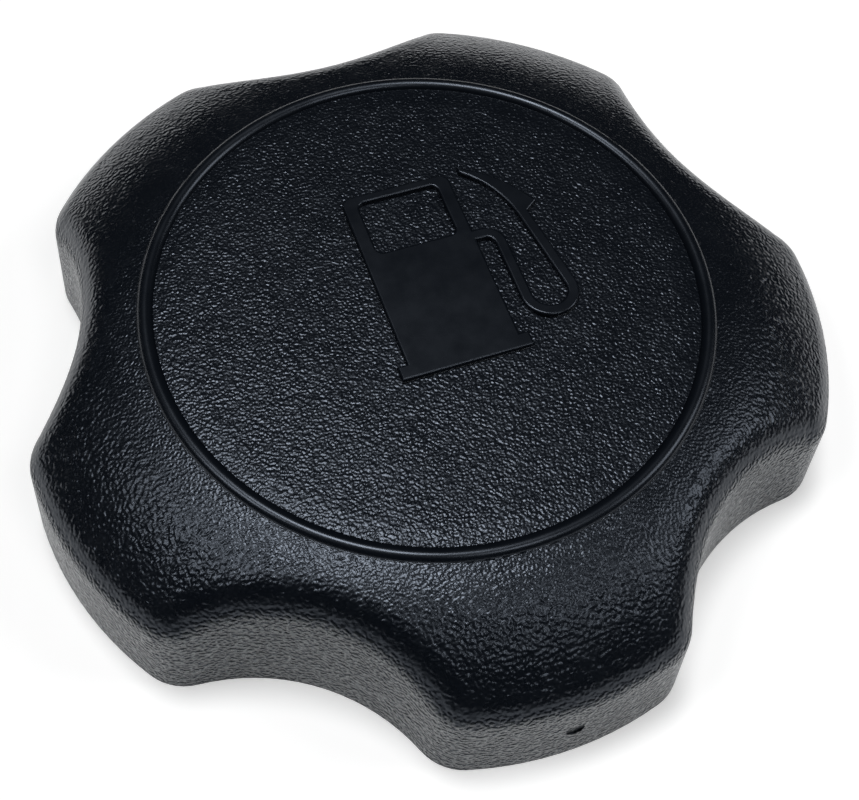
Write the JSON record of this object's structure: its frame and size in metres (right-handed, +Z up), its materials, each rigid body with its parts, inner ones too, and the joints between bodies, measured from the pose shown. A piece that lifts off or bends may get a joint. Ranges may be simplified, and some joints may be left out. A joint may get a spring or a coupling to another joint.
{
  "type": "fuel filler cap",
  "caption": "Five-lobed plastic bayonet fuel filler cap with raised ring and pump pictogram, sealing gasket, sprung locking claw and breather.",
  "frame": {"origin": "centre of the rim plane, on the cap's axis, where the tank's neck enters", "axes": "+Z up out of the roof, +Y the way up of the pictogram, one lobe along -Y"},
  "size_m": [0.0676, 0.0656, 0.0148],
  "materials": {
    "black_plastic": "moulded black plastic with a fine leather-like grain, plain on the raised marks",
    "nitrile_rubber": "black nitrile rubber",
    "zinc_plate": "bright zinc plating",
    "spring_steel": "drawn spring wire",
    "nylon": "natural nylon",
    "foam": "open-cell foam"
  },
  "bodies": {
    "cover": {"grip_cover": "black_plastic", "sealing_gasket": "nitrile_rubber", "retainer_cup": "zinc_plate", "cup_screw_1": "zinc_plate", "cup_screw_2": "zinc_plate", "cup_screw_3": "zinc_plate", "rivet_stem": "zinc_plate", "spring_washer": "zinc_plate", "conical_spring": "spring_steel", "valve_cage": "nylon", "foam_filter": "foam"},
    "claw": {"locking_claw": "zinc_plate"},
    "breather": {"breather_disc": "nitrile_rubber"}
  },
  "joints": [
    {"name": "claw_slide", "type": "slide", "parent": "cover", "child": "claw", "axis": [0, 0, -1], "range_m": [0, 0.0018], "stiffness_N_per_m": 2500, "springref_m": -0.002, "deforming": ["conical_spring"]},
    {"name": "breather_lift", "type": "slide", "parent": "cover", "child": "breather", "axis": [0, 0, 1], "range_m": [0, 0.0005]}
  ]
}
